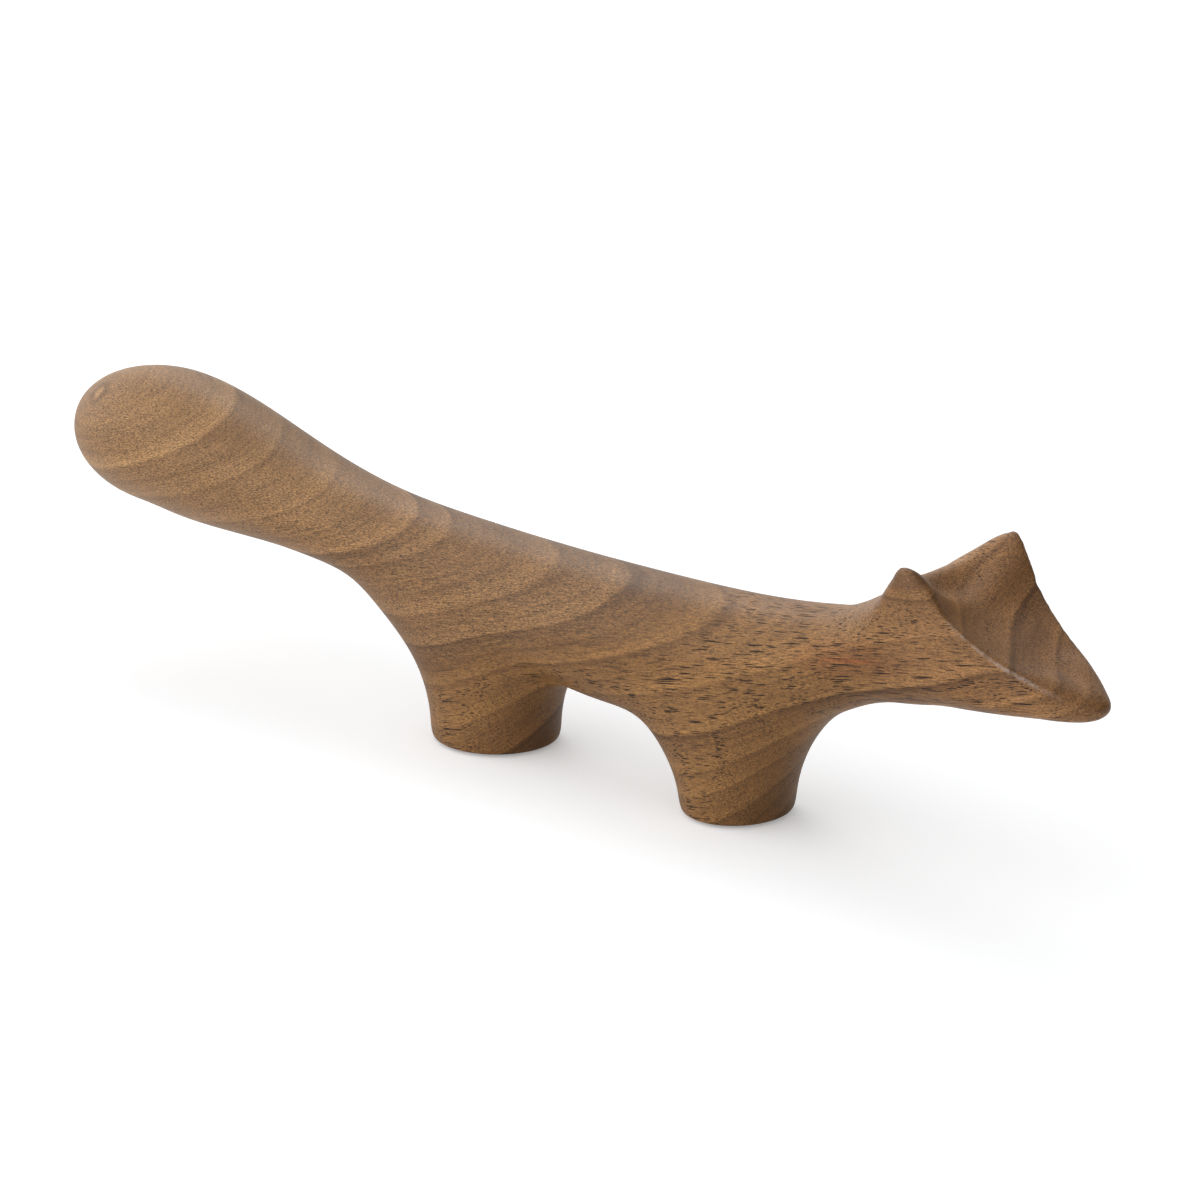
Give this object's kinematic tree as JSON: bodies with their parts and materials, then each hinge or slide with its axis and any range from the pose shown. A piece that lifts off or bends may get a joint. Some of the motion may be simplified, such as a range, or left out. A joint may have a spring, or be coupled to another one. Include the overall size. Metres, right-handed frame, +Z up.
{
  "type": "fox figurine",
  "caption": "Long slim walnut fox ornament with a raised bulb tail, dished face and pointed ears, standing on round feet with inset felt pads.",
  "frame": {"origin": "on the plane of the foot pads' undersides, below the middle of the overall length", "axes": "+X from tail to nose, +Y to the fox's left, +Z up"},
  "size_m": [0.2106, 0.024, 0.0495],
  "materials": {
    "oiled_walnut": "oiled satin",
    "felt": "matte felt"
  },
  "bodies": {
    "root": {"carved_body": "oiled_walnut", "rear_foot_pad": "felt", "front_foot_pad": "felt"}
  },
  "joints": []
}
